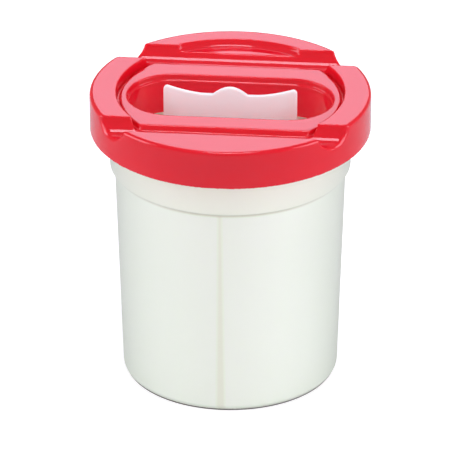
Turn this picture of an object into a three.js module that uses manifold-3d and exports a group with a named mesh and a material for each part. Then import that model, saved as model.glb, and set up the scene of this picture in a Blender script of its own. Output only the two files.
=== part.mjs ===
// Brush-washing pot: a tapered cup with a partition, a push-on lid with a spill-guard well, and a
// scalloped brush rest that stands in the lid's opening.
// Millimetres, +Z up. The origin is on the pot's axis, on the surface it stands on. X runs along the
// lid's opening and its brush channels, Y from the front of the pot to its back.
import * as THREE from "three";
import { mergeVertices } from "three/addons/utils/BufferGeometryUtils.js";
import Module from "manifold-3d";

const wasm = await Module();
wasm.setup();

// ---- Driving dimensions ----

const GAP = 0.3; // clearance between pieces that touch or seat

// Cup
const CUP_WALL = 1.5;
const CUP_FLOOR = 1.8;
const CUP_HEIGHT = 91.1; // to the top of the rim
const NECK_R = 38.65; // outside of the neck band
const NECK_HEIGHT = 18.8; // from the step up to the rim
const STEP_IN = 1.45; // the wall starts this far inside the neck band
const TAPER = 2.5; // how much the wall's radius shrinks from the step to the base
const FOOT_ROUND = 2.2; // rounding between wall and foot
const FOOT_RING = 3.0; // width of the flat ring that the cup stands on
const FOOT_RECESS = 0.7; // the underside inside that ring is raised by this much
const RIM_FLANGE = 4.45; // how far the rim stands out from the neck band
const RIM_FLANGE_T = 1.8;

// Partition across the cup, in the plane X = 0, thicker towards the floor
const PARTITION_BELOW_STEP = 0.8; // its top edge, below the step under the neck band
const PARTITION_TOP_T = 1.2;
const PARTITION_BASE_T = 2.7;

// Lid
const LID_WALL = 1.6;
const SKIRT_DEPTH = 12.6; // from the lid's top face down to the skirt's lower edge
const LID_EDGE_ROUND = 1.1;
const TROUGH_R = 5.1; // the two brush channels
const TROUGH_Y = 26.9; // channel axis, from the middle of the lid
const TROUGH_RISE = 0.3; // channel axis above the lid's top face
const COLLAR_DROP = 2.2; // collar, below the lid's top face
const COLLAR_SIDE_CUT = 3.5; // the collar's straight side, inwards from the channel axis
const WING_INSIDE_NECK = 0.65; // wings' inner edge, inwards from the neck's inner wall
const GROOVE_WIDTH = 1.3; // groove at the collar's round ends
const GROOVE_DROP = 3.9; // groove floor, below the lid's top face
const POCKET_HALF_WIDTH = 19.4; // arched pocket in the back segment
const POCKET_OVER_WING = 1.5; // its arched edge, outwards from the wings' inner edge
const OPENING_WIDTH = 29.6;
const OPENING_END_LAND = 2.1; // collar left beyond the opening's ends
const OPENING_LEDGE = 0.7; // the well is narrower than the opening by this much all round
const OPENING_LEDGE_DEPTH = 2.0; // below the collar
const WELL_DEPTH = 13.2; // below the collar
const WELL_WALL = 1.2;
const PLUG_WALL = 1.2; // ring that centres the lid in the mouth of the cup
const PLUG_DEPTH = 4.6; // below the cup's rim

// Brush rest
const REST_WIDTH = 42.8;
const REST_T = 1.5;
const REST_RISE = 1.1; // the middle of its top edge above the lid's top face
const REST_TIP_RISE = 0.35; // the outer curve, above the middle where it would meet the sides
const REST_BUMP_X = 5.5; // the middle bump, each way
const REST_VALLEY_DROP = 2.55; // the two brush hollows, below the middle
const REST_VALLEY_X = 8.3; // the hollows' lowest points, from the middle
const REST_CORNER_R = 1.3;
const REST_OVERLAP = 20.3; // depth of its slot, and of the partition's notch

// Mesh fineness
const ROUND_STEPS = 72;
const FILLET_STEPS = 4;

// ---- Dimensions that follow from those above ----

const STEP_Z = CUP_HEIGHT - NECK_HEIGHT;
const CUP_TOP_R = NECK_R - STEP_IN;
const CUP_BASE_R = CUP_TOP_R - TAPER;
const NECK_INNER_R = NECK_R - CUP_WALL;
const RIM_R = NECK_R + RIM_FLANGE;
const FOOT_RECESS_R = CUP_BASE_R - FOOT_ROUND - FOOT_RING;
const PARTITION_TOP = STEP_Z - PARTITION_BELOW_STEP;
const LID_R = RIM_R + GAP + LID_WALL;
const TROUGH_DEPTH = TROUGH_R - TROUGH_RISE; // below the lid's top face
// The channels' undersides rest just above the cup's rim.
const LID_TOP = CUP_HEIGHT + GAP + LID_WALL + TROUGH_DEPTH;
const SKIRT_Z = LID_TOP - SKIRT_DEPTH;
const COLLAR_Z = LID_TOP - COLLAR_DROP;
const COLLAR_HALF_WIDTH = TROUGH_Y - COLLAR_SIDE_CUT;
const WING_INNER_R = NECK_INNER_R - WING_INSIDE_NECK;
const COLLAR_R = WING_INNER_R - GROOVE_WIDTH;
const OPENING_LENGTH = 2 * (COLLAR_R - OPENING_END_LAND);
const WELL_Z = COLLAR_Z - WELL_DEPTH;
const PLUG_R = NECK_INNER_R - GAP;
const REST_TOP = LID_TOP + REST_RISE;
// The rest's slot ends where the partition's notch begins, half way down their overlap.
const CROSS_Z = PARTITION_TOP - REST_OVERLAP;
const REST_BOTTOM = CROSS_Z - REST_OVERLAP;
const OVERCUT = 1.0; // how far a cutting solid runs past the face that it cuts

// ---- Solids ----

// A closed geometry as a solid that can be cut and joined.
function solidOf(geometry) {
  const bare = geometry.index ? geometry.toNonIndexed() : geometry.clone();
  bare.deleteAttribute("normal");
  bare.deleteAttribute("uv");
  const merged = mergeVertices(bare, 1e-4);
  return new wasm.Manifold(
    new wasm.Mesh({
      numProp: 3,
      vertProperties: merged.attributes.position.array,
      triVerts: new Uint32Array(merged.index.array),
    }),
  );
}

// A solid back as a geometry with flat faces.
function geometryOf(solid) {
  const mesh = solid.getMesh();
  const geometry = new THREE.BufferGeometry();
  geometry.setAttribute("position", new THREE.BufferAttribute(mesh.vertProperties, 3));
  geometry.setIndex(new THREE.BufferAttribute(mesh.triVerts, 1));
  const flat = geometry.toNonIndexed();
  flat.computeVertexNormals();
  return flat;
}

// A round solid about Z from a profile of [radius, height] points, listed from the bottom upwards on
// the outside.
function turned(profile) {
  const points = profile.map(([radius, height]) => new THREE.Vector2(radius, height));
  const geometry = new THREE.LatheGeometry(points, ROUND_STEPS);
  geometry.rotateX(Math.PI / 2);
  return solidOf(geometry);
}

// A flat outline in X and Y, extruded from z0 up to z1.
function prism(shape, z0, z1) {
  const geometry = new THREE.ExtrudeGeometry(shape, {
    depth: z1 - z0,
    bevelEnabled: false,
    curveSegments: ROUND_STEPS / 4,
  });
  geometry.translate(0, 0, z0);
  return solidOf(geometry);
}

// A block between two opposite corners.
function block(low, high) {
  const size = high.map((value, i) => value - low[i]);
  const middle = high.map((value, i) => (value + low[i]) / 2);
  const geometry = new THREE.BoxGeometry(...size);
  geometry.translate(...middle);
  return solidOf(geometry);
}

// A cylinder about Z.
function disc(radius, z0, z1) {
  return turned([
    [0, z0],
    [radius, z0],
    [radius, z1],
    [0, z1],
  ]);
}

// A cylinder along X through the point (0, y, z).
function rod(radius, halfLength, y, z) {
  const geometry = new THREE.CylinderGeometry(radius, radius, 2 * halfLength, ROUND_STEPS);
  geometry.rotateZ(Math.PI / 2);
  geometry.translate(0, y, z);
  return solidOf(geometry);
}

// Points of an arc in a profile, both ends included. Angles in degrees, 0 along the radius, 90 up.
function arc(centreR, centreZ, radius, fromDeg, toDeg) {
  const points = [];
  for (let i = 0; i <= FILLET_STEPS; i++) {
    const angle = THREE.MathUtils.degToRad(fromDeg + ((toDeg - fromDeg) * i) / FILLET_STEPS);
    points.push([centreR + radius * Math.cos(angle), centreZ + radius * Math.sin(angle)]);
  }
  return points;
}

// An outline with straight sides and round ends, its length along X.
function roundEnded(length, width) {
  const radius = width / 2;
  const reach = length / 2 - radius;
  const shape = new THREE.Shape();
  shape.moveTo(-reach, -radius);
  shape.lineTo(reach, -radius);
  shape.absarc(reach, 0, radius, -Math.PI / 2, Math.PI / 2, false);
  shape.lineTo(-reach, radius);
  shape.absarc(-reach, 0, radius, Math.PI / 2, (3 * Math.PI) / 2, false);
  return shape;
}

// ---- Cup ----

// The cup's outer radius on the tapered wall at height z.
function wallRadius(z) {
  return CUP_BASE_R + ((CUP_TOP_R - CUP_BASE_R) * z) / STEP_Z;
}

// Everything inside the cup's outer surface, without the rim flange.
function cupOutside() {
  const footR = wallRadius(FOOT_ROUND);
  const stepRound = (NECK_R - CUP_TOP_R) * 0.8;
  return turned([
    [0, 0],
    ...arc(footR - FOOT_ROUND, FOOT_ROUND, FOOT_ROUND, -90, 0),
    [CUP_TOP_R, STEP_Z],
    ...arc(NECK_R - stepRound, STEP_Z + stepRound, stepRound, -90, 0),
    [NECK_R, CUP_HEIGHT],
    [0, CUP_HEIGHT],
  ]);
}

// The cup's hollow, down to the floor and out through the mouth.
function cupInside() {
  const inset = CUP_WALL;
  const floorRound = Math.max(FOOT_ROUND - inset, 0.4) + 1;
  const floorR = wallRadius(CUP_FLOOR + floorRound) - inset;
  return turned([
    [0, CUP_FLOOR],
    ...arc(floorR - floorRound, CUP_FLOOR + floorRound, floorRound, -90, 0),
    [CUP_TOP_R - inset, STEP_Z + inset],
    [NECK_INNER_R, STEP_Z + inset + (NECK_R - CUP_TOP_R)],
    [NECK_INNER_R, CUP_HEIGHT + OVERCUT],
    [0, CUP_HEIGHT + OVERCUT],
  ]);
}

// The ring round the mouth that the lid's skirt presses over.
function rimFlange() {
  const edge = RIM_FLANGE_T / 2;
  const z0 = CUP_HEIGHT - RIM_FLANGE_T;
  return turned([
    [NECK_INNER_R, z0],
    ...arc(RIM_R - edge, z0 + edge, edge, -90, 90),
    [NECK_INNER_R, CUP_HEIGHT],
    [NECK_INNER_R, z0],
  ]);
}

// The partition's thickness at height z.
function partitionThickness(z) {
  return PARTITION_BASE_T + ((PARTITION_TOP_T - PARTITION_BASE_T) * z) / PARTITION_TOP;
}

// The partition, tapered upwards, with the notch that the brush rest drops into.
function partition() {
  const z0 = CUP_FLOOR / 2;
  const shape = new THREE.Shape();
  shape.moveTo(-partitionThickness(z0) / 2, z0);
  shape.lineTo(partitionThickness(z0) / 2, z0);
  shape.lineTo(PARTITION_TOP_T / 2, PARTITION_TOP);
  shape.lineTo(-PARTITION_TOP_T / 2, PARTITION_TOP);
  const length = 2 * CUP_TOP_R;
  const geometry = new THREE.ExtrudeGeometry(shape, { depth: length, bevelEnabled: false });
  geometry.translate(0, 0, -length / 2);
  geometry.rotateX(Math.PI / 2);
  const notchY = REST_T / 2 + GAP;
  const notch = block(
    [-PARTITION_BASE_T, -notchY, CROSS_Z - GAP],
    [PARTITION_BASE_T, notchY, PARTITION_TOP + OVERCUT],
  );
  return solidOf(geometry).subtract(notch);
}

function cupSolid() {
  const outside = cupOutside();
  const recess = disc(FOOT_RECESS_R, -OVERCUT, FOOT_RECESS);
  const shell = outside.subtract(cupInside()).subtract(recess);
  // The partition is kept inside the outer surface and clear of the recess under the floor.
  const rib = partition().intersect(outside).subtract(recess);
  return shell.add(rimFlange()).add(rib);
}

// ---- Lid ----

// The lid's form drawn in by an inset all round: 0 gives its outer form, one wall its hollow.
function lidForm(inset) {
  const top = LID_TOP - inset;
  const radius = LID_R - inset;
  const round = LID_EDGE_ROUND - inset * 0.5;
  const skirtZ = SKIRT_Z - (inset > 0 ? OVERCUT : 0);
  const body = turned([
    [0, skirtZ],
    [radius, skirtZ],
    ...arc(radius - round, top - round, round, 0, 90),
    [0, top],
  ]);
  const above = LID_TOP + OVERCUT;
  const betweenTroughs = block([-LID_R, -TROUGH_Y, SKIRT_Z], [LID_R, TROUGH_Y, above]);
  const collarSink = disc(WING_INNER_R + inset, COLLAR_Z - inset, above).intersect(betweenTroughs);
  const grooveZ = LID_TOP - GROOVE_DROP - inset;
  const groove = disc(WING_INNER_R + inset, grooveZ, above)
    .subtract(disc(COLLAR_R - inset, SKIRT_Z, above + OVERCUT))
    .intersect(betweenTroughs);
  let form = body.subtract(collarSink).subtract(groove).subtract(pocket(inset));
  for (const side of [-1, 1]) {
    const z = LID_TOP + TROUGH_RISE;
    form = form.subtract(rod(TROUGH_R + inset, LID_R + OVERCUT, side * TROUGH_Y, z));
    // The collar's straight side drops plumb into the channel.
    const inner = side * (COLLAR_HALF_WIDTH - inset);
    const outer = side * TROUGH_Y;
    const lip = block(
      [-COLLAR_R, Math.min(inner, outer), LID_TOP - GROOVE_DROP - inset],
      [COLLAR_R, Math.max(inner, outer), above],
    );
    form = form.subtract(lip.intersect(disc(WING_INNER_R + inset, SKIRT_Z, above)));
  }
  return form;
}

// The arched pocket behind the back channel: level with the collar, its back wall hollowed.
function pocket(inset) {
  const scoopX = WING_INNER_R + POCKET_OVER_WING - COLLAR_DROP;
  const radius = COLLAR_DROP + inset;
  const above = LID_TOP + OVERCUT;
  const scooped = turned([
    [0, COLLAR_Z - inset],
    ...arc(scoopX, LID_TOP, radius, -90, 0),
    [scoopX + radius, above],
    [0, above],
  ]);
  const halfWidth = POCKET_HALF_WIDTH + inset;
  return scooped.intersect(block([-halfWidth, TROUGH_Y, SKIRT_Z], [halfWidth, LID_R, above]));
}

// The opening and the hollow of the well under it.
function openingCut() {
  const ledgeZ = COLLAR_Z - OPENING_LEDGE_DEPTH;
  const mouth = prism(roundEnded(OPENING_LENGTH, OPENING_WIDTH), ledgeZ, LID_TOP + OVERCUT);
  const narrowed = 2 * OPENING_LEDGE;
  const throat = prism(
    roundEnded(OPENING_LENGTH - narrowed, OPENING_WIDTH - narrowed),
    WELL_Z - OVERCUT,
    ledgeZ + OVERCUT,
  );
  return mouth.add(throat);
}

function lidSolid() {
  const outer = lidForm(0);
  const shell = outer.subtract(lidForm(LID_WALL));
  const grown = 2 * WELL_WALL;
  const well = prism(
    roundEnded(OPENING_LENGTH + grown, OPENING_WIDTH + grown),
    WELL_Z,
    COLLAR_Z - LID_WALL / 2,
  );
  const plugZ = CUP_HEIGHT - PLUG_DEPTH;
  const plug = disc(PLUG_R, plugZ, LID_TOP)
    .subtract(disc(PLUG_R - PLUG_WALL, plugZ - OVERCUT, LID_TOP + OVERCUT))
    .intersect(outer);
  return shell.add(plug).add(well).subtract(openingCut());
}

// ---- Brush rest ----

// Height of the rest's top edge, a bump between two hollows with the tips rising outwards.
function restEdge(x) {
  const fromMiddle = Math.abs(x);
  const valleyZ = REST_TOP - REST_VALLEY_DROP;
  if (fromMiddle < REST_BUMP_X) {
    const swell = (1 + Math.cos((Math.PI * fromMiddle) / REST_BUMP_X)) / 2;
    return valleyZ + REST_VALLEY_DROP * swell ** 0.45;
  }
  const outward = Math.max(fromMiddle - REST_VALLEY_X, 0) / (REST_WIDTH / 2 - REST_VALLEY_X);
  return valleyZ + (REST_VALLEY_DROP + REST_TIP_RISE) * outward ** 1.6;
}

function restSolid() {
  const half = REST_WIDTH / 2;
  const cornerX = half - REST_CORNER_R;
  const cornerZ = restEdge(cornerX) - REST_CORNER_R;
  const steps = 60;
  const shape = new THREE.Shape();
  shape.moveTo(-half, REST_BOTTOM);
  shape.lineTo(half, REST_BOTTOM);
  shape.absarc(cornerX, cornerZ, REST_CORNER_R, 0, Math.PI / 2, false);
  for (let i = 1; i < steps; i++) {
    const x = cornerX - (2 * cornerX * i) / steps;
    shape.lineTo(x, restEdge(x));
  }
  shape.absarc(-cornerX, cornerZ, REST_CORNER_R, Math.PI / 2, Math.PI, false);
  const geometry = new THREE.ExtrudeGeometry(shape, {
    depth: REST_T,
    bevelEnabled: false,
    curveSegments: FILLET_STEPS,
  });
  geometry.translate(0, 0, -REST_T / 2);
  geometry.rotateX(Math.PI / 2);
  // The slot straddles the partition, which is thickest at the slot's lower end.
  const slotX = partitionThickness(REST_BOTTOM) / 2 + GAP;
  const slot = block(
    [-slotX, -REST_T, REST_BOTTOM - OVERCUT],
    [slotX, REST_T, CROSS_Z],
  );
  return solidOf(geometry).subtract(slot);
}

// ---- Assembly ----

function piece(name, solid, colour, roughness) {
  const material = new THREE.MeshStandardMaterial({ color: colour, roughness, metalness: 0 });
  const mesh = new THREE.Mesh(geometryOf(solid), material);
  mesh.name = name;
  return mesh;
}

const pot = new THREE.Group();
pot.add(piece("cup", cupSolid(), 0xe6e8de, 0.35));
pot.add(piece("lid", lidSolid(), 0xd8192c, 0.2));
pot.add(piece("brush_rest", restSolid(), 0xf2eeee, 0.35));

export default pot;
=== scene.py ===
"""Looks of a brush-washing pot: a translucent cup, a glossy push-on lid and a white brush rest.

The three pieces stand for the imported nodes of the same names. Lengths are in metres, +Z is up, X
runs along the lid's opening and Y from the front of the pot to its back.
"""

import logging
import math
from dataclasses import dataclass
from enum import Enum

import bpy
from bpy.types import Material, Object, ShaderNode, ShaderNodeTree
from bpy.types import NodeSocket as Socket
from mathutils import Matrix, Vector

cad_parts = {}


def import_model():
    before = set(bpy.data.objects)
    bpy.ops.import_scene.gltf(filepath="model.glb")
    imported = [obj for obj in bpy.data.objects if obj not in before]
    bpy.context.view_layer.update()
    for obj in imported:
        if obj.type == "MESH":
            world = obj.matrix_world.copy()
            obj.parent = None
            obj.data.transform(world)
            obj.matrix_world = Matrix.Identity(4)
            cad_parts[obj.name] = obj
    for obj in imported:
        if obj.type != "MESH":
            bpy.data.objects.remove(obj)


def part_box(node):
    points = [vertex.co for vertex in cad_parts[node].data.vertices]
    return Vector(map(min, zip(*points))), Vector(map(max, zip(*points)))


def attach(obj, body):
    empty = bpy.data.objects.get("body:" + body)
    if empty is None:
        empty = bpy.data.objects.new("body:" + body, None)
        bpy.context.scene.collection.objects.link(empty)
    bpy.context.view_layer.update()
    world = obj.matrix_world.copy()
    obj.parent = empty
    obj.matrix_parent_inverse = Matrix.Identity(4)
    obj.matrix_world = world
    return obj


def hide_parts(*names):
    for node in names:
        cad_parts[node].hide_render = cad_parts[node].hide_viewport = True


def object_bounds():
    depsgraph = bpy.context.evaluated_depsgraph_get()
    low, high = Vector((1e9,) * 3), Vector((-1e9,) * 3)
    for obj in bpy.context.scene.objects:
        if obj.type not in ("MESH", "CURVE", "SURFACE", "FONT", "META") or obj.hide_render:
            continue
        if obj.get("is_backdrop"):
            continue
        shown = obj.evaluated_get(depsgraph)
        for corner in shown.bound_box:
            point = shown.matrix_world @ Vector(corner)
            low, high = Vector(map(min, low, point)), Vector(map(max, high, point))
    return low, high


LOG = logging.getLogger("pot")
MM = 0.001
# How near to each other two points of a turned form, or of a drawn outline, count as one.
SAME_TURNED = 0.002 * MM
SAME_DRAWN = 0.01 * MM
ROD_SIDES = 96
Profile = list[tuple[float, float]]
Triple = tuple[float, float, float]


class Side(Enum):
    """The two long sides of the lid, as the sign of Y."""

    FRONT = -1
    BACK = 1


class Cut(Enum):
    """How one solid acts on another."""

    REMOVE = "DIFFERENCE"
    JOIN = "UNION"
    KEEP_COMMON = "INTERSECT"


# Modelling by hand tools


class Bench:
    """The modelling tools that the pieces share."""

    @staticmethod
    def clear_selection() -> None:
        """Leaves object mode with nothing selected."""
        if bpy.context.object and bpy.context.object.mode != "OBJECT":
            bpy.ops.object.mode_set(mode="OBJECT")
        bpy.ops.object.select_all(action="DESELECT")

    @staticmethod
    def take(obj: Object) -> None:
        """Selects one object alone and makes it active.

        Args:
            obj: The object to select.
        """
        Bench.clear_selection()
        obj.select_set(True)
        bpy.context.view_layer.objects.active = obj

    @staticmethod
    def settle(obj: Object) -> Object:
        """Moves an object's place into its mesh, so that the object sits at the origin.

        Args:
            obj: The object to settle.

        Returns:
            The same object.
        """
        Bench.take(obj)
        bpy.ops.object.transform_apply(location=True, rotation=True, scale=True)
        return obj

    @staticmethod
    def start_point(name: str, place: Triple) -> Object:
        """Adds a primitive and gathers it to one vertex, in edit mode, ready to be drawn on from.

        Args:
            name: Name of the new object.
            place: Where the vertex lies.

        Returns:
            The new object, in edit mode with its vertex selected.
        """
        Bench.clear_selection()
        bpy.ops.mesh.primitive_plane_add(size=MM, location=place)
        obj = bpy.context.object
        obj.name = name
        bpy.ops.object.transform_apply(location=True, rotation=True, scale=True)
        bpy.ops.object.mode_set(mode="EDIT")
        bpy.ops.mesh.select_mode(type="VERT")
        bpy.ops.mesh.select_all(action="SELECT")
        bpy.ops.mesh.merge(type="CENTER")
        bpy.ops.mesh.select_all(action="SELECT")
        return obj

    @staticmethod
    def draw_on(points: list[Vector]) -> None:
        """Extrudes the selected vertex from point to point.

        Args:
            points: The points in order, the first of which the vertex lies on.
        """
        for last, point in zip(points, points[1:]):
            step = tuple(point - last)
            bpy.ops.mesh.extrude_region_move(TRANSFORM_OT_translate={"value": step})

    @staticmethod
    def turned(name: str, profile: Profile, steps: int) -> Object:
        """Spins a profile about the Z axis into a closed solid.

        Args:
            name: Name of the new object.
            profile: Radius and height of each point; it starts and ends on the axis, or closes.
            steps: How many steps the spin takes.

        Returns:
            The solid, with its faces outwards.
        """
        points = [Vector((radius, 0.0, height)) for radius, height in profile]
        obj = Bench.start_point(name, tuple(points[0]))
        Bench.draw_on(points)
        bpy.ops.mesh.select_all(action="SELECT")
        bpy.ops.mesh.spin(steps=steps, angle=2 * math.pi, center=(0, 0, 0), axis=(0, 0, 1))
        bpy.ops.mesh.select_all(action="SELECT")
        bpy.ops.mesh.remove_doubles(threshold=SAME_TURNED)
        bpy.ops.mesh.normals_make_consistent(inside=False)
        bpy.ops.object.mode_set(mode="OBJECT")
        return obj

    @staticmethod
    def stretch_ends(obj: Object, reach: float) -> Object:
        """Parts a turned solid in the middle and moves its halves apart along X.

        Args:
            obj: A turned solid whose only vertices in the plane X = 0 are those on its axis.
            reach: How far each half moves.

        Returns:
            The same object, now with straight sides and round ends.
        """
        Bench.take(obj)
        for sign in (-1, 1):
            bpy.ops.object.mode_set(mode="EDIT")
            bpy.ops.mesh.select_all(action="DESELECT")
            bpy.ops.object.mode_set(mode="OBJECT")
            for vertex in obj.data.vertices:
                vertex.select = sign * vertex.co.x > SAME_DRAWN
            bpy.ops.object.mode_set(mode="EDIT")
            bpy.ops.transform.translate(value=(sign * reach, 0, 0))
        bpy.ops.object.mode_set(mode="OBJECT")
        return obj

    @staticmethod
    def block(name: str, low: Vector, high: Vector) -> Object:
        """Adds a plain cutting block between two corners.

        Args:
            name: Name of the new object.
            low: The corner with the lowest values.
            high: The corner with the highest values.

        Returns:
            The block.
        """
        Bench.clear_selection()
        bpy.ops.mesh.primitive_cube_add(size=1, location=tuple((low + high) / 2))
        obj = bpy.context.object
        obj.name = name
        obj.scale = high - low
        return Bench.settle(obj)

    @staticmethod
    def rod_along_x(name: str, radius: float, length: float, y: float, z: float) -> Object:
        """Adds a cutting cylinder along X.

        Args:
            name: Name of the new object.
            radius: Its radius.
            length: Its length.
            y: Where its axis lies along Y.
            z: The height of its axis.

        Returns:
            The cylinder.
        """
        Bench.clear_selection()
        bpy.ops.mesh.primitive_cylinder_add(
            vertices=ROD_SIDES,
            radius=radius,
            depth=length,
            location=(0, y, z),
            rotation=(0, math.pi / 2, 0),
        )
        obj = bpy.context.object
        obj.name = name
        return Bench.settle(obj)

    @staticmethod
    def combine(obj: Object, other: Object, cut: Cut, keep: bool = False) -> None:
        """Joins or cuts one solid with another.

        Args:
            obj: The solid that is changed.
            other: The solid that changes it.
            cut: What is done.
            keep: Whether the other solid is kept afterwards.
        """
        Bench.take(obj)
        modifier = obj.modifiers.new("combine", "BOOLEAN")
        modifier.object = other
        modifier.operation = cut.value
        modifier.solver = "MANIFOLD"
        bpy.ops.object.modifier_apply(modifier=modifier.name)
        if not keep:
            bpy.data.objects.remove(other, do_unlink=True)

    @staticmethod
    def apply(obj: Object, kind: str, **settings: object) -> None:
        """Adds a modifier and applies it.

        Args:
            obj: The object that is changed.
            kind: The modifier's type.
            settings: The modifier's settings by name.
        """
        Bench.take(obj)
        modifier = obj.modifiers.new(kind.lower(), kind)
        for name, value in settings.items():
            setattr(modifier, name, value)
        bpy.ops.object.modifier_apply(modifier=modifier.name)

    @staticmethod
    def smooth(obj: Object, degrees: float) -> None:
        """Shades an object smooth but for edges sharper than an angle."""
        Bench.take(obj)
        bpy.ops.object.shade_smooth_by_angle(angle=math.radians(degrees))


def arc(
    centre: tuple[float, float], radius: float, start: float, stop: float, steps: int
) -> Profile:
    """Points of an arc in a profile.

    Args:
        centre: Radius and height of the arc's centre.
        radius: The arc's radius.
        start: Angle of its first point in degrees, 0 outwards and 90 up.
        stop: Angle of its last point.
        steps: How many steps it takes.

    Returns:
        The points from start to stop, both included.
    """
    angles = [math.radians(start + (stop - start) * i / steps) for i in range(steps + 1)]
    return [(centre[0] + radius * math.cos(a), centre[1] + radius * math.sin(a)) for a in angles]


# Finishes


class MouldedSurface:
    """The fine unevenness of moulded plastic, as a node group that every plastic finish uses."""

    NAME = "moulded_surface"
    SCALES = {"Flow Scale": 60.0, "Scuff Scale": 300.0}
    FLOW_DETAIL = 2.0
    GRAIN_DETAIL = 6.0
    GRAIN_SHARE = 0.12
    SCUFFS_FROM = 0.56
    SCUFFS_TO = 0.72

    @classmethod
    def group(cls) -> ShaderNodeTree:
        """Builds the group once and returns it.

        Returns:
            A group with the inputs Flow Scale and Scuff Scale, and the outputs Height, Scuffs and
            Cloud.
        """
        if cls.NAME in bpy.data.node_groups:
            return bpy.data.node_groups[cls.NAME]
        tree = bpy.data.node_groups.new(cls.NAME, "ShaderNodeTree")
        for name, value in cls.SCALES.items():
            socket = tree.interface.new_socket(name, in_out="INPUT", socket_type="NodeSocketFloat")
            socket.default_value = value
        for name in ("Height", "Scuffs", "Cloud"):
            tree.interface.new_socket(name, in_out="OUTPUT", socket_type="NodeSocketFloat")
        source = tree.nodes.new("NodeGroupInput")
        sink = tree.nodes.new("NodeGroupOutput")
        place = tree.nodes.new("ShaderNodeTexCoord")
        flow = cls._noise(tree, place, source.outputs["Flow Scale"], cls.FLOW_DETAIL)
        grain = cls._noise(tree, place, source.outputs["Scuff Scale"], cls.GRAIN_DETAIL)
        scuffs = tree.nodes.new("ShaderNodeMapRange")
        scuffs.inputs["From Min"].default_value = cls.SCUFFS_FROM
        scuffs.inputs["From Max"].default_value = cls.SCUFFS_TO
        tree.links.new(grain.outputs["Fac"], scuffs.inputs["Value"])
        height = tree.nodes.new("ShaderNodeMath")
        height.operation = "MULTIPLY_ADD"
        height.inputs[1].default_value = cls.GRAIN_SHARE
        tree.links.new(grain.outputs["Fac"], height.inputs[0])
        tree.links.new(flow.outputs["Fac"], height.inputs[2])
        tree.links.new(height.outputs[0], sink.inputs["Height"])
        tree.links.new(scuffs.outputs["Result"], sink.inputs["Scuffs"])
        tree.links.new(flow.outputs["Fac"], sink.inputs["Cloud"])
        return tree

    @staticmethod
    def _noise(
        tree: ShaderNodeTree, place: ShaderNode, scale: Socket, detail: float
    ) -> ShaderNode:
        """Adds a noise texture on object coordinates with its scale linked.

        Args:
            tree: The group under construction.
            place: The texture coordinates.
            scale: The socket that gives the noise its scale.
            detail: How fine the noise gets.

        Returns:
            The noise node.
        """
        noise = tree.nodes.new("ShaderNodeTexNoise")
        noise.inputs["Detail"].default_value = detail
        tree.links.new(place.outputs["Object"], noise.inputs["Vector"])
        tree.links.new(scale, noise.inputs["Scale"])
        return noise


@dataclass(frozen=True)
class Moulding:
    """How one plastic's skin and depth take the light: its grain, gloss and inner scatter."""

    flow_scale: float
    scuff_scale: float
    smooth: float
    scuffed: float
    relief: float
    relief_depth: float
    ior: float
    scatter: float
    scatter_reach: Triple


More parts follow.
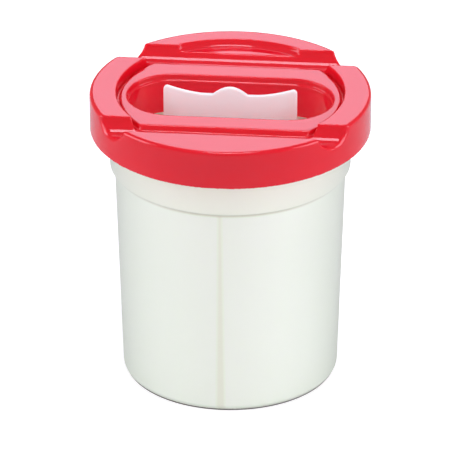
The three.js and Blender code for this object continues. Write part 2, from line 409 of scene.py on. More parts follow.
class Recipe:
    """A material under construction: its node tree, its shader and shorthand for adding nodes."""

    def __init__(self, name: str) -> None:
        """Starts a material with one Principled shader.

        Args:
            name: The material's name.
        """
        self.material = bpy.data.materials.new(name)
        self.material.use_nodes = True
        self.tree = self.material.node_tree
        self.shader = self.tree.nodes["Principled BSDF"]

    def set(self, **values: object) -> None:
        """Sets the shader's sockets; an underscore in a name stands for a space."""
        for name, value in values.items():
            self.shader.inputs[name.replace("_", " ")].default_value = value

    def place(self) -> tuple[Socket, Socket, Socket]:
        """Adds the place on the object.

        Returns:
            The sockets of X, of Z and of the distance from the Z axis.
        """
        place = self.tree.nodes.new("ShaderNodeTexCoord")
        split = self.tree.nodes.new("ShaderNodeSeparateXYZ")
        self.tree.links.new(place.outputs["Object"], split.inputs[0])
        x, y, z = split.outputs
        squares = self.math("ADD", self.math("MULTIPLY", x, x), self.math("MULTIPLY", y, y))
        return x, z, self.math("SQRT", squares)

    def mould(self, plastic: Moulding) -> Socket:
        """Gives the material a plastic's grain, gloss and inner scatter.

        Args:
            plastic: The plastic's own values.

        Returns:
            The socket of the cloudy pattern that the colours are mixed by.
        """
        node = self.tree.nodes.new("ShaderNodeGroup")
        node.node_tree = MouldedSurface.group()
        node.inputs["Flow Scale"].default_value = plastic.flow_scale
        node.inputs["Scuff Scale"].default_value = plastic.scuff_scale
        gloss = self.ramp(node.outputs["Scuffs"], 0, 1, plastic.smooth, plastic.scuffed)
        self.link(gloss, "Roughness")
        self.bump(node.outputs["Height"], plastic.relief, plastic.relief_depth)
        self.set(
            IOR=plastic.ior,
            Emission_Strength=1.0,
            Subsurface_Weight=plastic.scatter,
            Subsurface_Radius=plastic.scatter_reach,
            Subsurface_Scale=1.0,
        )
        return node.outputs["Cloud"]

    def ramp(
        self, value: Socket, low: float, high: float, to_low: float, to_high: float
    ) -> Socket:
        """Maps a value from one range to another, and clamps it there.

        Args:
            value: The value's socket.
            low: Where the first range starts.
            high: Where the first range ends.
            to_low: What its start becomes.
            to_high: What its end becomes.

        Returns:
            The result's socket.
        """
        node = self.tree.nodes.new("ShaderNodeMapRange")
        ends = {"From Min": low, "From Max": high, "To Min": to_low, "To Max": to_high}
        for name, end in ends.items():
            node.inputs[name].default_value = end
        self.tree.links.new(value, node.inputs["Value"])
        return node.outputs["Result"]

    def mix(self, mask: Socket, low: Triple | Socket, high: Triple | Socket) -> Socket:
        """Mixes two colours by a mask.

        Args:
            mask: Where the second colour shows.
            low: The first colour, plain or from a socket.
            high: The second colour, plain or from a socket.

        Returns:
            The mixed colour's socket.
        """
        node = self.tree.nodes.new("ShaderNodeMix")
        node.data_type = "RGBA"
        for name, colour in (("A", low), ("B", high)):
            if isinstance(colour, tuple):
                node.inputs[name].default_value = (*colour, 1)
            else:
                self.tree.links.new(colour, node.inputs[name])
        self.tree.links.new(mask, node.inputs["Factor"])
        return node.outputs["Result"]

    def math(self, operation: str, *terms: Socket | float) -> Socket:
        """Adds a Math node.

        Args:
            operation: What it works out.
            terms: Its terms, as sockets or plain numbers.

        Returns:
            The result's socket.
        """
        node = self.tree.nodes.new("ShaderNodeMath")
        node.operation = operation
        for i, term in enumerate(terms):
            if isinstance(term, (int, float)):
                node.inputs[i].default_value = term
            else:
                self.tree.links.new(term, node.inputs[i])
        return node.outputs[0]

    def bump(self, height: Socket, strength: float, distance: float) -> None:
        """Feeds a height into the shader's normal through a Bump node.

        Args:
            height: The height's socket.
            strength: How strongly it tells.
            distance: How high its full height stands.
        """
        node = self.tree.nodes.new("ShaderNodeBump")
        node.inputs["Strength"].default_value = strength
        node.inputs["Distance"].default_value = distance
        self.tree.links.new(height, node.inputs["Height"])
        self.tree.links.new(node.outputs["Normal"], self.shader.inputs["Normal"])

    def link(self, output: Socket, name: str) -> None:
        """Links a socket to one of the shader's inputs."""
        self.tree.links.new(output, self.shader.inputs[name])


@dataclass(frozen=True)
class GlossyRed:
    """The lid's glossy red plastic; the well has a faint painted glow for light from inside the
    cup.
    """

    well_top: float
    well_reach: float
    deep: Triple = (0.79, 0.006, 0.019)
    lively: Triple = (0.83, 0.008, 0.024)
    # Painted glow: the well glows red though it is no lamp.
    painted_glow: Triple = (0.09, 0.0, 0.004)
    painted_glow_fade_out: float = 1.0 * MM
    painted_glow_fade_up: float = 2.0 * MM
    plastic: Moulding = Moulding(
        flow_scale=45.0,
        scuff_scale=900.0,
        smooth=0.07,
        scuffed=0.13,
        relief=0.08,
        relief_depth=0.04 * MM,
        ior=1.52,
        scatter=0.35,
        scatter_reach=(3.5 * MM, 0.3 * MM, 0.5 * MM),
    )

    def material(self) -> Material:
        """Builds the material: even colour, a high gloss with faint scuffs and the well's painted
        glow.

        Returns:
            The material.
        """
        recipe = Recipe("lid_glossy_red")
        cloud = recipe.mould(self.plastic)
        _, z, radius = recipe.place()
        # Painted glow: the well glows, standing in for light from inside the cup.
        edge = self.well_reach + self.painted_glow_fade_out
        inside = recipe.ramp(radius, self.well_reach, edge, 1, 0)
        below = recipe.ramp(z, self.well_top - self.painted_glow_fade_up, self.well_top, 1, 0)
        in_well = recipe.math("MULTIPLY", inside, below)
        recipe.link(recipe.mix(in_well, (0.0, 0.0, 0.0), self.painted_glow), "Emission Color")
        recipe.link(recipe.mix(cloud, self.deep, self.lively), "Base Color")
        return recipe.material


@dataclass(frozen=True)
class NaturalPolypropylene:
    """The cup's translucent off-white plastic.

    The partition's edges show through the wall as a faint warm band of painted shade that widens
    towards the floor. The neck above the step is a warmer colour, the step below it has a thin
    painted shadow line, and the wall has painted shade, greyer where it turns away from the camera.
    The inside of the wall is painted lighter and pinker for red light from the lid, and both sides
    carry a painted glow.
    """

    step_z: float
    base_radius: float
    top_radius: float
    body: Triple = (0.865, 0.935, 0.81)
    milky: Triple = (0.88, 0.945, 0.825)
    # Painted light: the inside is lighter and pinker, standing in for red light from the lid.
    inside: Triple = (0.93, 0.89, 0.87)
    # Painted shade where the partition shows through the wall.
    painted_partition_shade: Triple = (0.80, 0.82, 0.69)
    neck: Triple = (0.86, 0.89, 0.765)
    # Painted shadow: the thin dark line just below the step.
    crease: Triple = (0.52, 0.48, 0.36)
    # Painted shade: the grey that the wall takes where it turns away from the camera.
    painted_edge_shade: Triple = (0.50, 0.545, 0.465)
    # Painted glows: the wall's outside and inside glow a little though they are no lamp.
    painted_glow: Triple = (0.10, 0.11, 0.095)
    painted_glow_inside: Triple = (0.12, 0.10, 0.10)
    partition_shade_top_half: float = 0.6 * MM
    partition_shade_base_half: float = 1.35 * MM
    partition_shade_below_step: float = 0.8 * MM
    crease_below_step: float = 0.4 * MM
    crease_half: float = 1.0 * MM
    crease_shadow_strength: float = 0.9
    partition_shade_fade: float = 0.6 * MM
    neck_from: float = -0.1 * MM
    neck_to: float = 0.2 * MM
    skin_from: float = 0.5 * MM
    skin_to: float = 0.9 * MM
    edge_shade_from: float = 0.15
    edge_shade_to: float = 0.9
    plastic: Moulding = Moulding(
        flow_scale=30.0,
        scuff_scale=700.0,
        smooth=0.38,
        scuffed=0.5,
        relief=0.15,
        relief_depth=0.06 * MM,
        ior=1.49,
        scatter=0.4,
        scatter_reach=(2.6 * MM, 2.8 * MM, 2.3 * MM),
    )

    def painted_partition_shade_mask(self, recipe: Recipe, x: Socket, z: Socket) -> Socket:
        """Masks the band of painted shade where the partition meets the wall.

        Args:
            recipe: The material under construction.
            x: The place along X.
            z: The height.

        Returns:
            One on the band and nought beside it.
        """
        top = self.step_z - self.partition_shade_below_step
        half = recipe.ramp(z, 0, top, self.partition_shade_base_half, self.partition_shade_top_half)
        edge = recipe.math("SUBTRACT", recipe.math("ABSOLUTE", x), half)
        near = recipe.ramp(edge, -self.partition_shade_fade, self.partition_shade_fade, 1, 0)
        under = recipe.ramp(z, top, top + self.partition_shade_fade, 1, 0)
        return recipe.math("MULTIPLY", near, under)

    def material(self) -> Material:
        """Builds the material: cloudy milky plastic with painted partition shade, a warmer neck, a
        painted crease shadow, painted edge shade and painted glows.

        Returns:
            The material.
        """
        recipe = Recipe("cup_natural_polypropylene")
        cloud = recipe.mould(self.plastic)
        x, z, radius = recipe.place()
        # Painted shade: the outside of the wall is mixed towards grey where it faces away from the
        # camera.
        facing = recipe.tree.nodes.new("ShaderNodeLayerWeight")
        facing.inputs["Blend"].default_value = 0.5
        edge_shade_mask = recipe.ramp(facing.outputs["Facing"], self.edge_shade_from, self.edge_shade_to, 0, 1)
        skin = recipe.ramp(z, 0, self.step_z, self.base_radius, self.top_radius)
        depth = recipe.math("SUBTRACT", skin, radius)
        outside = recipe.ramp(depth, self.skin_from, self.skin_to, 1, 0)
        edge_shade_mask = recipe.math("MULTIPLY", edge_shade_mask, outside)
        above = recipe.ramp(z, self.step_z + self.neck_from, self.step_z + self.neck_to, 0, 1)
        # Painted shadow: a thin dark line in the crease just below the step.
        crease_z = self.step_z - self.crease_below_step
        from_crease = recipe.math("ABSOLUTE", recipe.math("SUBTRACT", z, crease_z))
        painted_crease_shadow = recipe.ramp(from_crease, 0, self.crease_half, self.crease_shadow_strength, 0)
        colour = recipe.mix(cloud, self.body, self.milky)
        # Painted light: the inside of the wall takes the lighter, pinker colour.
        colour = recipe.mix(outside, self.inside, colour)
        colour = recipe.mix(above, colour, self.neck)
        # Painted shade: a darker, warmer band where the partition shows through the wall.
        colour = recipe.mix(self.painted_partition_shade_mask(recipe, x, z), colour, self.painted_partition_shade)
        colour = recipe.mix(painted_crease_shadow, colour, self.crease)
        recipe.link(recipe.mix(edge_shade_mask, colour, self.painted_edge_shade), "Base Color")
        # Painted glow on the outside and the inside of the wall.
        recipe.link(recipe.mix(outside, self.painted_glow_inside, self.painted_glow), "Emission Color")
        return recipe.material


@dataclass(frozen=True)
class SatinWhite:
    """The brush rest's white plastic."""

    body: Triple = (0.93, 0.925, 0.93)
    milky: Triple = (0.95, 0.945, 0.95)
    # Painted glow: the plate glows a little though it is no lamp.
    painted_glow: Triple = (0.09, 0.095, 0.10)
    plastic: Moulding = Moulding(
        flow_scale=55.0,
        scuff_scale=1100.0,
        smooth=0.34,
        scuffed=0.48,
        relief=0.15,
        relief_depth=0.05 * MM,
        ior=1.49,
        scatter=0.6,
        scatter_reach=(2.4 * MM, 1.8 * MM, 1.8 * MM),
    )

    def material(self) -> Material:
        """Builds the material: soft white with a little light passing through, and a painted glow.

        Returns:
            The material.
        """
        recipe = Recipe("brush_rest_satin_white")
        cloud = recipe.mould(self.plastic)
        recipe.link(recipe.mix(cloud, self.body, self.milky), "Base Color")
        # Painted glow of the plate.
        recipe.set(Emission_Color=(*self.painted_glow, 1))
        return recipe.material


@dataclass(frozen=True)
class StudioPaper:
    """The pale paper that the pot stands on.

    It looks white, but the light it throws back on the pot is that of a greyer sheet.
    """

    foot_radius: float
    seen: Triple = (0.95, 0.95, 0.95)
    # Painted shadow in the gap round the foot.
    painted_gap_shadow: Triple = (0.12, 0.12, 0.12)
    thrown: Triple = (0.72, 0.72, 0.72)
    # The paper's even self-lit glow, cut by the painted shadow round the foot.
    painted_glow: float = 0.35
    gap_from: float = -1.1 * MM
    gap_to: float = -0.6 * MM

    def material(self) -> Material:
        """Builds the material: matt and slightly self-lit, with a painted shadow in the gap round
        the foot.

        Returns:
            The material.
        """
        recipe = Recipe("studio_paper")
        path = recipe.tree.nodes.new("ShaderNodeLightPath")
        _, _, radius = recipe.place()
        # Painted shadow: the paper darkens and stops glowing in the gap round the foot.
        start = self.foot_radius + self.gap_from
        clear = recipe.ramp(radius, start, self.foot_radius + self.gap_to, 0, 1)
        is_seen = path.outputs["Is Camera Ray"]
        seen = recipe.mix(clear, self.painted_gap_shadow, self.seen)
        recipe.link(recipe.mix(is_seen, self.thrown, seen), "Base Color")
        painted_glow = (self.painted_glow, self.painted_glow, self.painted_glow)
        lit = recipe.math("MULTIPLY", is_seen, clear)
        recipe.link(recipe.mix(lit, (0, 0, 0), painted_glow), "Emission Color")
        recipe.set(Roughness=0.9, Specular_IOR_Level=0.1, Emission_Strength=1.0)
        return recipe.material


# Pieces


class Piece:
    """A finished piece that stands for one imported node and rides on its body."""

    node = ""

    def __init__(self) -> None:
        """Reads the node's box, from which the piece takes its place."""
        self.low, self.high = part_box(self.node)

    def build(self) -> Object:
        """Models the piece; each kind of piece has its own way."""
        raise NotImplementedError

    def finish_material(self) -> Material:
        """Makes the piece's material; each kind of piece has its own."""
        raise NotImplementedError

    def place(self) -> Object:
        """Returns:
            The finished object.
        """
        obj = self.build()
        obj.name = "look_" + self.node
        obj.data.name = obj.name
        obj.data.materials.clear()
        obj.data.materials.append(self.finish_material())
        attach(obj, self.node)
        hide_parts(self.node)
        faces = len(obj.data.polygons)
        size = tuple(round(side / MM, 2) for side in obj.dimensions)
        LOG.info("%s: %d faces, %s mm", obj.name, faces, size)
        return obj


@dataclass
class CupSizes:
    """The cup's own sizes; its radius and height come from its node."""

    wall: float = 1.5 * MM
    floor: float = 1.8 * MM
    flange: float = 4.45 * MM
    flange_thickness: float = 1.8 * MM
    neck_height: float = 18.8 * MM
    step_in: float = 1.45 * MM
    step_round: float = 0.9 * MM
    crease: float = 0.25 * MM
    crease_lean: float = 0.4
    taper: float = 2.5 * MM
    foot_round: float = 2.2 * MM
    foot_ring: float = 3.0 * MM
    foot_recess: float = 0.7 * MM
    recess_round: float = 0.35 * MM
    recess_edge: float = 0.5 * MM
    inner_round: float = 1.8 * MM
    lip_round: float = 0.5 * MM
    steps: int = 180
    partition_top_half: float = 0.6 * MM
    partition_base_half: float = 1.35 * MM
    partition_below_step: float = 0.8 * MM
    notch_half: float = 1.05 * MM
    partition_edge: float = 0.25 * MM
    notch_floor: float = 50.9 * MM
    notch_reach: float = 3.0 * MM
    notch_over: float = 1.0 * MM
    root_depth: float = 0.8 * MM
    root_in: float = 1.6 * MM
    root_height: float = 3.0 * MM
    smooth_angle: float = 32.0


class Cup(Piece):
    """The translucent cup with its partition."""

    node = "cup"

    def __init__(self, sizes: CupSizes | None = None) -> None:
        """Takes the outer sizes from the node and the rest from the given sizes.

        Args:
            sizes: The piece's own sizes, or none for the usual ones.
        """
        super().__init__()
        self.sizes = sizes or CupSizes()
        self.rim_radius = self.high.x
        self.top = self.high.z
        self.neck_radius = self.rim_radius - self.sizes.flange
        self.step_z = self.top - self.sizes.neck_height
        self.wall_top_radius = self.neck_radius - self.sizes.step_in
        self.base_radius = self.wall_top_radius - self.sizes.taper

    def wall_radius(self, z: float) -> float:
        """Gives the wall's outer radius at a height."""
        return self.base_radius + self.sizes.taper * z / self.step_z

    def outer_profile(self) -> Profile:
        """Lists the outside from the middle of the underside up to the outer edge of the rim.

        Returns:
            The profile's points.
        """
        s = self.sizes
        foot_radius = self.wall_radius(s.foot_round)
        recess = foot_radius - s.foot_round - s.foot_ring
        recess_centre = (recess - s.recess_edge, s.foot_recess - s.recess_round)
        edge = s.flange_thickness / 2
        under_rim = self.top - s.flange_thickness
        return [
            (0, s.foot_recess),
            *arc(recess_centre, s.recess_round, 90, 0, 4),
            (recess, 0),
            *arc((foot_radius - s.foot_round, s.foot_round), s.foot_round, -90, 0, 10),
            (self.wall_top_radius - s.crease * s.crease_lean, self.step_z - s.crease),
            *arc(
                (self.neck_radius - s.step_round, self.step_z + s.step_round),
                s.step_round,
                -90,
                0,
                8,
            ),
            *arc(
                (self.neck_radius + s.lip_round, under_rim - s.lip_round), s.lip_round, 180, 90, 5
            ),
            *arc((self.rim_radius - edge, under_rim + edge), edge, -90, 90, 12),
        ]

    def inner_profile(self) -> Profile:
        """Lists the hollow from the mouth down to the middle of the floor.

        Returns:
            The profile's points.
        """
        s = self.sizes
        neck = self.neck_radius - s.wall
        ledge = self.step_z + s.wall
        floor_radius = self.wall_radius(s.floor + s.inner_round) - s.wall
        round_centre = (floor_radius - s.inner_round, s.floor + s.inner_round)
        return [
            *arc((neck + s.lip_round, self.top - s.lip_round), s.lip_round, 90, 180, 5),
            (neck, ledge + s.step_in),
            (self.wall_top_radius - s.wall, ledge),
            *arc(round_centre, s.inner_round, 0, -90, 8),
            (0, s.floor),
        ]

    def partition(self) -> Object:
        """Models the tapered partition with the notch for the brush rest.

        Returns:
            The partition, trimmed to end inside the wall.
        """
        s = self.sizes
        top = self.step_z - s.partition_below_step
        reach = self.wall_top_radius
        Bench.clear_selection()
        bpy.ops.mesh.primitive_cube_add(size=1)
        plate = bpy.context.object
        plate.name = "partition"
        low = s.floor / 2
        plate.scale = (2 * s.partition_base_half, 2 * reach, top - low)
        plate.location = (0, 0, (top + low) / 2)
        Bench.settle(plate)
        for vertex in plate.data.vertices:
            vertex.select = vertex.co.z > (top + low) / 2
        bpy.ops.object.mode_set(mode="EDIT")
        ratio = s.partition_top_half / s.partition_base_half
        bpy.ops.transform.resize(value=(ratio, 1, 1), center_override=(0, 0, top))
        bpy.ops.object.mode_set(mode="OBJECT")
        notch = Bench.block(
            "notch",
            Vector((-s.notch_reach, -s.notch_half, s.notch_floor)),
            Vector((s.notch_reach, s.notch_half, top + s.notch_over)),
        )
        Bench.combine(plate, notch, Cut.REMOVE)
        Bench.apply(plate, "BEVEL", width=s.partition_edge, segments=2, limit_method="ANGLE")
        hollow = Bench.turned("within_wall", self.within_wall(), s.steps)
        Bench.combine(plate, hollow, Cut.KEEP_COMMON)
        return plate

    def within_wall(self) -> Profile:
        """Lists a form that ends half way through the wall, to which the partition is trimmed.

        Returns:
            The profile's points.
        """
        s = self.sizes
        half = s.wall / 2
        return [
            (0, s.floor - s.root_depth),
            (self.wall_radius(0) - half - s.root_in, s.floor - s.root_depth),
            (self.wall_radius(s.root_height) - half, s.root_height),
            (self.wall_top_radius - half, self.step_z),
            (0, self.step_z),
        ]

    def build(self) -> Object:
        """Turns the cup and joins the partition to it.

        Returns:
            The cup as one closed solid.
        """
        profile = self.outer_profile() + self.inner_profile()
        cup = Bench.turned("cup_shell", profile, self.sizes.steps)
        Bench.combine(cup, self.partition(), Cut.JOIN)
        Bench.smooth(cup, self.sizes.smooth_angle)
        return cup

    def finish_material(self) -> Material:
        """Makes the translucent off-white plastic."""
        finish = NaturalPolypropylene(self.step_z, self.base_radius, self.wall_top_radius)
        return finish.material()


@dataclass
class LidSizes:
    """The lid's own sizes; its radius and top come from its node."""

    wall: float = 1.6 * MM
    skirt_depth: float = 12.6 * MM
    edge_round: float = 1.1 * MM
    trough_radius: float = 5.1 * MM
    trough_y: float = 26.9 * MM
    trough_rise: float = 0.3 * MM
    collar_drop: float = 2.2 * MM
    collar_side_cut: float = 3.5 * MM
    outlet_round: float = 1.5 * MM
    outlet_steps: int = 7
    outlet_clear: float = 8.0 * MM
    wing_inset: float = 8.5 * MM
    groove_width: float = 1.3 * MM
    groove_drop: float = 3.9 * MM
    pocket_half: float = 19.4 * MM
    pocket_over_wing: float = 1.5 * MM
    opening_width: float = 29.6 * MM
    opening_land: float = 2.1 * MM
    ledge: float = 0.7 * MM
    ledge_depth: float = 2.0 * MM
    well_wall: float = 1.2 * MM
    plug_inset: float = 8.15 * MM
    plug_wall: float = 1.2 * MM
    plug_round: float = 0.5 * MM
    plug_above_skirt: float = 1.3 * MM
    over: float = 1.0 * MM
    voxel: float = 0.3 * MM
    soften: int = 5
    soften_share: float = 0.5
    keep_share: float = 0.3
    steps: int = 240
    # Two more than a multiple of four, so that no point but those on the axis lies at X = 0.
    stadium_steps: int = 98


class Lid(Piece):
    """The glossy push-on lid with its channels, collar and spill-guard well."""

    node = "lid"

    def __init__(self, sizes: LidSizes | None = None) -> None:
        """Takes the outer sizes from the node and the rest from the given sizes.

        Args:
            sizes: The piece's own sizes, or none for the usual ones.
        """
        super().__init__()
        self.sizes = sizes or LidSizes()
        self.radius = self.high.x
        self.top = self.high.z
        self.well_z = self.low.z
        self.skirt_z = self.top - self.sizes.skirt_depth
        self.collar_z = self.top - self.sizes.collar_drop
        self.wing_radius = self.radius - self.sizes.wing_inset
        self.collar_radius = self.wing_radius - self.sizes.groove_width

    def disc(self, radius: float, low: float, high: float) -> Object:
        """Turns a plain disc between two heights."""
        profile = [(0, low), (radius, low), (radius, high), (0, high)]
        return Bench.turned("disc", profile, self.sizes.steps)

    def slab(self, y_low: float, y_high: float, x_half: float, low: float) -> Object:
        """Adds a block across the lid, from a height up past its top."""
        above = self.top + 2 * self.sizes.over
        return Bench.block("slab", Vector((-x_half, y_low, low)), Vector((x_half, y_high, above)))

    def form(self, inset: float) -> Object:
        """Models the lid's form drawn in by an inset: none gives its outside, a wall its hollow.

        Args:
            inset: How far the form is drawn in.

        Returns:
            The form as a closed solid.
        """
        s = self.sizes
        top = self.top - inset
        above = self.top + s.over
        radius = self.radius - inset
        edge = s.edge_round - inset / 2
        low = self.skirt_z - (s.over if inset else 0)
        shoulder = arc((radius - edge, top - edge), edge, 0, 90, 8)
        profile = [(0, low), (radius, low), *shoulder, (0, top)]
        body = Bench.turned("lid_form", profile, s.steps)
        y_mid = s.trough_y
        wide = self.radius + s.over

        sink = self.disc(self.wing_radius + inset, self.collar_z - inset, above)
        Bench.combine(sink, self.slab(-y_mid, y_mid, wide, self.skirt_z), Cut.KEEP_COMMON)
        Bench.combine(body, sink, Cut.REMOVE)

        groove_z = self.top - s.groove_drop - inset
        groove = self.disc(self.wing_radius + inset, groove_z, above)
        core = self.disc(self.collar_radius - inset, self.skirt_z, above + s.over)
        Bench.combine(groove, core, Cut.REMOVE)
        Bench.combine(groove, self.slab(-y_mid, y_mid, wide, self.skirt_z), Cut.KEEP_COMMON)
        Bench.combine(body, groove, Cut.REMOVE)

        Bench.combine(body, self.pocket(inset), Cut.REMOVE)
        for side in Side:
            self.cut_channel(body, side, inset)
            if not inset:
                self.round_outlets(body, side)
        return body

    def pocket(self, inset: float) -> Object:
        """Models the cut for the arched pocket, level with the collar, with a hollowed back wall.

        Args:
            inset: How far the lid's form is drawn in.

        Returns:
            The cutting solid.
        """
        s = self.sizes
        scoop_x = self.wing_radius + s.pocket_over_wing - s.collar_drop
        radius = s.collar_drop + inset
        above = self.top + s.over
        profile = [
            (0, self.collar_z - inset),
            *arc((scoop_x, self.top), radius, -90, 0, 20),
            (scoop_x + radius, above),
            (0, above),
        ]
        scooped = Bench.turned("pocket", profile, s.steps)
        half = s.pocket_half + inset
        bay = Bench.block(
            "bay",
            Vector((-half, s.trough_y, self.skirt_z)),
            Vector((half, self.radius, above + s.over)),
        )
        Bench.combine(scooped, bay, Cut.KEEP_COMMON)
        return scooped

    def round_outlets(self, body: Object, side: Side) -> None:
        """Rounds the edge where a brush channel runs out through the skirt.

        Args:
            body: The form that is rounded.
            side: Which channel's outlets are rounded.
        """
        s = self.sizes
        length = 2 * (self.radius + s.over)
        y = side.value * s.trough_y
        axis_z = self.top + s.trough_rise
        for i in range(s.outlet_steps):
            turn = math.radians(90 * (i + 0.5) / s.outlet_steps)
            wider = s.outlet_round * (1 - math.sin(turn))
            depth = s.outlet_round * (1 - math.cos(turn))
            rod = Bench.rod_along_x("outlet", s.trough_radius + wider, length, y, axis_z)
            above = self.top + s.outlet_clear
            core = self.disc(self.radius - depth, self.skirt_z - s.over, above)
            Bench.combine(rod, core, Cut.REMOVE)
            Bench.combine(body, rod, Cut.REMOVE)

    def cut_channel(self, body: Object, side: Side, inset: float) -> None:
        """Cuts one brush channel and the plumb side of the collar beside it.

        Args:
            body: The form that is cut.
            side: Which side of the lid the channel is on.
            inset: How far the form is drawn in.
        """
        s = self.sizes
        y = side.value * s.trough_y
        length = 2 * (self.radius + s.over)
        axis_z = self.top + s.trough_rise
        trough = Bench.rod_along_x("trough", s.trough_radius + inset, length, y, axis_z)
        Bench.combine(body, trough, Cut.REMOVE)
        inner = side.value * (s.trough_y - s.collar_side_cut - inset)
        floor = self.top - s.groove_drop - inset
        slab = self.slab(min(inner, y), max(inner, y), self.collar_radius, floor)
        within = self.disc(self.wing_radius + inset, self.skirt_z, self.top + s.over)
        Bench.combine(slab, within, Cut.KEEP_COMMON)
        Bench.combine(body, slab, Cut.REMOVE)

    def stadium(self, name: str, grow: float, low: float, high: float, edge: float = 0.0) -> Object:
        """Models a solid with straight sides and round ends, offset from the opening's outline.

        Args:
            name: Name of the new object.
            grow: How far its outline lies outside the opening's.
            low: Its lower height.
            high: Its upper height.
            edge: Rounding of its lower edge.

        Returns:
            The solid.
        """
        s = self.sizes
        end = s.opening_width / 2
        reach = self.collar_radius - s.opening_land - end
        radius = end + grow
        lower = arc((radius - edge, low + edge), edge, -90, 0, 5) if edge else [(radius, low)]
        profile = [(0, low), *lower, (radius, high), (0, high)]
        turned = Bench.turned(name, profile, s.stadium_steps)
        return Bench.stretch_ends(turned, reach)

    def opening(self) -> Object:
        """Models the opening with its ledge and the well's hollow as one cutting solid.

        Returns:
            The cutting solid.
        """
        s = self.sizes
        ledge_z = self.collar_z - s.ledge_depth
        mouth = self.stadium("mouth", 0, ledge_z, self.top + s.over)
        throat = self.stadium("throat", -s.ledge, self.well_z - s.over, ledge_z + s.over)
        Bench.combine(mouth, throat, Cut.JOIN)
        return mouth

    def plug(self, outside: Object) -> Object:
        """Models the ring that centres the lid in the cup's mouth, kept inside the lid's form.

        Args:
            outside: The lid's outer form.

        Returns:
            The ring.
        """
        s = self.sizes
        outer = self.radius - s.plug_inset
        low = self.skirt_z + s.plug_above_skirt
        profile = [
            (outer - s.plug_wall, low),
            *arc((outer - s.plug_round, low + s.plug_round), s.plug_round, -90, 0, 3),
            (outer, self.top),
            (outer - s.plug_wall, self.top),
            (outer - s.plug_wall, low),
        ]
        ring = Bench.turned("plug", profile, s.steps)
        Bench.combine(ring, outside, Cut.KEEP_COMMON, keep=True)
        return ring

    def build(self) -> Object:
        """Models the lid and softens its edges as a mould leaves them.

        Returns:
            The lid as one closed solid.
        """
        s = self.sizes
        lid = self.form(0.0)
        ring = self.plug(lid)
        Bench.combine(lid, self.form(s.wall), Cut.REMOVE)
        Bench.combine(lid, ring, Cut.JOIN)
        well = self.stadium("well", s.well_wall, self.well_z, self.collar_z - s.wall / 2)
        Bench.combine(lid, well, Cut.JOIN)
        Bench.combine(lid, self.opening(), Cut.REMOVE)
        Bench.apply(lid, "REMESH", mode="VOXEL", voxel_size=s.voxel, adaptivity=0.0)
        Bench.apply(lid, "SMOOTH", factor=s.soften_share, iterations=s.soften)
        Bench.apply(lid, "DECIMATE", ratio=s.keep_share)
        Bench.take(lid)
        bpy.ops.object.shade_smooth()
        return lid

    def finish_material(self) -> Material:
        """Makes the glossy red plastic."""
        well_top = self.collar_z - self.sizes.ledge_depth
        return GlossyRed(well_top, self.collar_radius).material()


@dataclass
class RestSizes:
    """The brush rest's own sizes; its width, height and thickness come from its node."""

    valley_drop: float = 2.55 * MM
    valley_x: float = 8.3 * MM
    bump_x: float = 5.5 * MM
    tip_rise: float = 0.35 * MM
    corner: float = 1.3 * MM
    swell: float = 0.45
    sweep: float = 1.6
    slot_half: float = 1.35 * MM
    slot_top: float = 51.2 * MM
    edge_round: float = 0.35 * MM
    edge_angle: float = 50.0
    smooth_angle: float = 40.0
    steps: int = 72


class BrushRest(Piece):
    """The white plate with the scalloped top edge."""

    node = "brush_rest"

    def __init__(self, sizes: RestSizes | None = None) -> None:
        """Takes the outer sizes from the node and the rest from the given sizes.

        Args:
            sizes: The piece's own sizes, or none for the usual ones.
        """
        super().__init__()
        self.sizes = sizes or RestSizes()
        self.half = self.high.x
        self.thickness = self.high.y - self.low.y

    def edge_height(self, x: float) -> float:
        """Gives the height of the scalloped edge.

        Args:
            x: The place along the edge, from the middle.

        Returns:
            The edge's height there.
        """
        s = self.sizes
        valley = self.high.z - s.valley_drop
        out = abs(x)
        if out < s.bump_x:
            share = (1 + math.cos(math.pi * out / s.bump_x)) / 2
            return valley + s.valley_drop * share**s.swell
        share = max(out - s.valley_x, 0) / (self.half - s.valley_x)
        return valley + (s.valley_drop + s.tip_rise) * share**s.sweep

    def outline(self) -> list[Vector]:
        """Lists the outline of the plate's front face, round from the slot's upper right corner.

        Returns:
            The outline's points, the last of which is the first again.
        """
        s = self.sizes
        corner_x = self.half - s.corner
        corner_z = self.edge_height(corner_x) - s.corner
        right = arc((corner_x, corner_z), s.corner, 0, 90, 6)
        left = arc((-corner_x, corner_z), s.corner, 90, 180, 6)
        span = [corner_x - 2 * corner_x * i / s.steps for i in range(1, s.steps)]
        points = [
            (s.slot_half, s.slot_top),
            (s.slot_half, self.low.z),
            (self.half, self.low.z),
            *right,
            *[(x, self.edge_height(x)) for x in span],
            *left,
            (-self.half, self.low.z),
            (-s.slot_half, self.low.z),
            (-s.slot_half, s.slot_top),
            (s.slot_half, s.slot_top),
        ]
        return [Vector((x, self.low.y, z)) for x, z in points]

    def build(self) -> Object:
        """Draws the outline, fills it, gives it its thickness and rounds its edges.

        Returns:
            The plate as one closed solid.
        """
        points = self.outline()
        plate = Bench.start_point("rest_plate", tuple(points[0]))
        Bench.draw_on(points)
        bpy.ops.mesh.select_all(action="SELECT")
        bpy.ops.mesh.remove_doubles(threshold=SAME_DRAWN)
        bpy.ops.mesh.edge_face_add()
        bpy.ops.mesh.extrude_region_move(TRANSFORM_OT_translate={"value": (0, self.thickness, 0)})
        bpy.ops.mesh.select_all(action="SELECT")
        bpy.ops.mesh.normals_make_consistent(inside=False)
        bpy.ops.object.mode_set(mode="OBJECT")
        Bench.apply(
            plate,
            "BEVEL",
            width=self.sizes.edge_round,
            segments=4,
            limit_method="ANGLE",
            angle_limit=math.radians(self.sizes.edge_angle),
        )
        Bench.smooth(plate, self.sizes.smooth_angle)
        return plate

    def finish_material(self) -> Material:
        """Makes the satin white plastic."""
        return SatinWhite().material()


# Studio


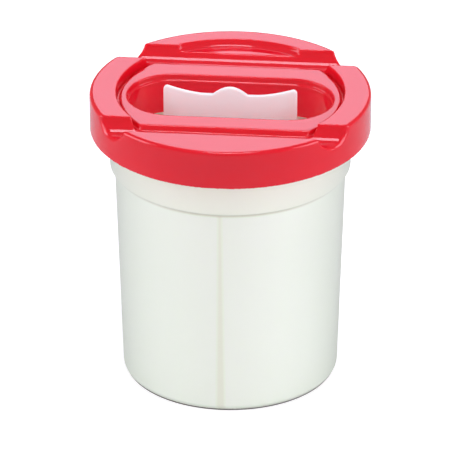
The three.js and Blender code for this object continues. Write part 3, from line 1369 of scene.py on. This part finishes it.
@dataclass
class Softbox:
    """A square soft light that faces a point; its brightness is that of its face, not its power."""

    name: str
    place: Triple
    size: float
    brightness: float
    tint: Triple = (1, 1, 1)
    mirrored: bool = True

    def add(self, target: Vector) -> None:
        """Adds the light.

        Args:
            target: The point that it faces.
        """
        Bench.clear_selection()
        bpy.ops.object.light_add(type="AREA", location=self.place)
        light = bpy.context.object
        light.name = self.name
        light.data.shape = "SQUARE"
        light.data.size = self.size
        light.data.energy = self.brightness * math.pi * self.size**2
        light.data.color = self.tint
        light.visible_glossy = self.mirrored
        light.rotation_euler = (target - Vector(self.place)).to_track_quat("-Z", "Y").to_euler()


@dataclass
class Studio:
    """The floor, the lights and the camera."""

    azimuth: float = 5.2
    elevation: float = 27.27
    distance: float = 2.0
    lens: float = 485.9
    sensor: float = 36.0
    side_shift: float = -0.27 * MM
    aim_height: float = 47.87 * MM
    clip_start: float = 0.05
    clip_end: float = 20.0
    floor_size: float = 6.0
    aim_share: float = 0.8
    world_level: float = 0.32
    world_seen: float = 0.88
    tint: Triple = (1.0, 0.95, 1.1)
    back_tint: Triple = (1.0, 0.95, 1.18)

    def viewpoint(self) -> tuple[Vector, Vector, Vector]:
        """Works out where the camera looks.

        Returns:
            The point it aims at, and its right and forward directions.
        """
        turn = math.radians(self.azimuth)
        tilt = math.radians(self.elevation)
        right = Vector((math.cos(turn), math.sin(turn), 0))
        forward = Vector(
            (-math.sin(turn) * math.cos(tilt), math.cos(turn) * math.cos(tilt), -math.sin(tilt))
        )
        return right * self.side_shift + Vector((0, 0, self.aim_height)), right, forward

    def add_camera(self) -> None:
        """Adds the camera at the viewing angle and makes it the scene's own."""
        aim, right, forward = self.viewpoint()
        Bench.clear_selection()
        bpy.ops.object.camera_add(location=aim - forward * self.distance)
        camera = bpy.context.object
        camera.name = "camera"
        camera.data.lens = self.lens
        camera.data.sensor_width = self.sensor
        camera.data.clip_start = self.clip_start
        camera.data.clip_end = self.clip_end
        up = right.cross(forward)
        turned = Matrix((right, up, -forward)).transposed()
        camera.rotation_euler = turned.to_euler()
        bpy.context.scene.camera = camera

    def add_floor(self) -> None:
        """Adds the flat paper floor, with a painted shadow in the gap round the pot's foot."""
        Bench.clear_selection()
        bpy.ops.mesh.primitive_plane_add(size=self.floor_size)
        floor = bpy.context.object
        floor.name = "floor"
        foot_radius = Cup().wall_radius(0)
        floor.data.materials.append(StudioPaper(foot_radius).material())
        floor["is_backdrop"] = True

    def add_lights(self, pot_height: float) -> None:
        """Adds the softboxes and an even pale surround.

        Args:
            pot_height: The pot's height, from which the lights take their aim.
        """
        target = Vector((0, 0, pot_height * self.aim_share))
        boxes = [
            Softbox("overhead", (0.0, -0.05, 1.0), size=0.32, brightness=7.0, tint=self.tint),
            Softbox("behind", (0.0, 0.95, 0.78), size=0.62, brightness=1.95, tint=self.back_tint),
            Softbox("front", (0.22, -2.3, 0.8), size=1.7, brightness=1.25, mirrored=False),
            Softbox("left", (-1.3, -0.25, 0.5), size=0.9, brightness=3.7, tint=self.tint),
            Softbox("right", (1.3, -0.25, 0.5), size=0.9, brightness=3.7, tint=self.tint),
        ]
        for box in boxes:
            box.add(target)
        self.add_world()

    def add_world(self) -> None:
        """Adds the surround, which looks as pale as the paper but throws less light."""
        world = bpy.data.worlds.new("surround")
        world.use_nodes = True
        tree = world.node_tree
        path = tree.nodes.new("ShaderNodeLightPath")
        level = tree.nodes.new("ShaderNodeMapRange")
        level.inputs["To Min"].default_value = self.world_level
        level.inputs["To Max"].default_value = self.world_seen
        tree.links.new(path.outputs["Is Camera Ray"], level.inputs["Value"])
        background = tree.nodes["Background"]
        background.inputs["Color"].default_value = (1, 1, 1, 1)
        tree.links.new(level.outputs["Result"], background.inputs["Strength"])
        bpy.context.scene.world = world

    def set_up(self, pot_height: float) -> None:
        """Sets up the whole studio.

        Args:
            pot_height: The pot's height.
        """
        self.add_camera()
        self.add_floor()
        self.add_lights(pot_height)
        bpy.context.scene.view_settings.view_transform = "Standard"
        LOG.info("studio ready")


def main() -> None:
    """Builds the studio and the pieces in order."""
    logging.basicConfig(level=logging.INFO, format="%(name)s: %(message)s")
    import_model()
    cad_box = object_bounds()
    Studio().set_up(cad_box[1][2])
    for piece in (Cup(), Lid(), BrushRest()):
        piece.place()


if __name__ == "__main__":
    main()
